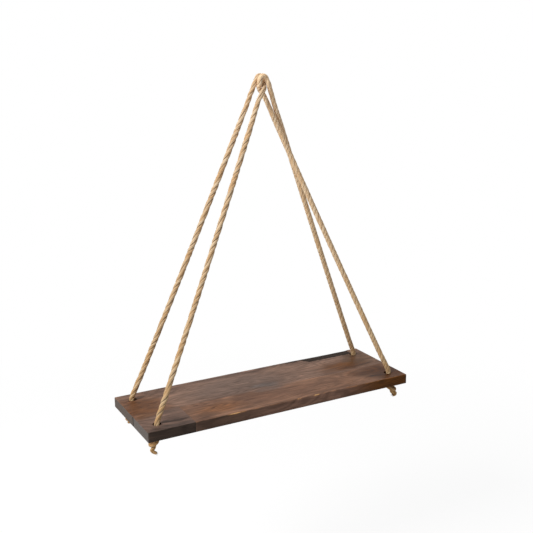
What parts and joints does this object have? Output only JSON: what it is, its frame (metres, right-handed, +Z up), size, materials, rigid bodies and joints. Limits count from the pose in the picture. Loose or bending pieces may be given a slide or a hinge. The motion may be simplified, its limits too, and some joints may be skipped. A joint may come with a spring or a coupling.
{
  "type": "hanging rope shelf",
  "caption": "Narrow wooden plank shelf hung from one hook by natural fibre ropes that pass through holes near its corners and end in stopper knots.",
  "frame": {"origin": "the top of the hook that carries the shelf, where the undersides of both rope loops rest on it", "axes": "+Z up, +X along the board to the right as seen from the front, +Y from the front edge to the back edge"},
  "size_m": [0.43, 0.14, 0.5097],
  "materials": {
    "board_wood": "satin",
    "dark_wood": "satin",
    "jute_rope": "rough"
  },
  "bodies": {
    "hook_bights": {"left_rope_bight": "jute_rope", "right_rope_bight": "jute_rope"},
    "upper_necks": {"left_back_upper_neck": "jute_rope", "left_front_upper_neck": "jute_rope", "right_back_upper_neck": "jute_rope", "right_front_upper_neck": "jute_rope"},
    "lower_necks": {"left_back_lower_neck": "jute_rope", "left_front_lower_neck": "jute_rope", "right_back_lower_neck": "jute_rope", "right_front_lower_neck": "jute_rope"},
    "shelf": {"front_stave_short": "dark_wood", "front_stave_long": "board_wood", "back_stave": "board_wood", "left_back_leg": "jute_rope", "left_front_leg": "jute_rope", "right_back_leg": "jute_rope", "right_front_leg": "jute_rope", "left_back_knot": "jute_rope", "left_front_knot": "jute_rope", "right_back_knot": "jute_rope", "right_front_knot": "jute_rope", "left_back_tail": "jute_rope", "left_front_tail": "jute_rope", "right_back_tail": "jute_rope", "right_front_tail": "jute_rope"}
  },
  "joints": [
    {"name": "side_swing", "type": "hinge", "parent": "hook_bights", "child": "upper_necks", "pos_m": [0, 0, 0], "axis": [0, 1, 0], "range_deg": [-18, 18], "deforming": ["left_rope_bight", "right_rope_bight"]},
    {"name": "fore_aft_swing", "type": "hinge", "parent": "upper_necks", "child": "lower_necks", "pos_m": [0, 0, 0], "axis": [1, 0, 0], "range_deg": [-15, 15], "deforming": ["left_back_upper_neck", "left_front_upper_neck", "right_back_upper_neck", "right_front_upper_neck"]},
    {"name": "twist", "type": "hinge", "parent": "lower_necks", "child": "shelf", "pos_m": [0, 0, 0], "axis": [0, 0, 1], "range_deg": [-25, 25], "deforming": ["left_back_lower_neck", "left_front_lower_neck", "right_back_lower_neck", "right_front_lower_neck"]}
  ]
}
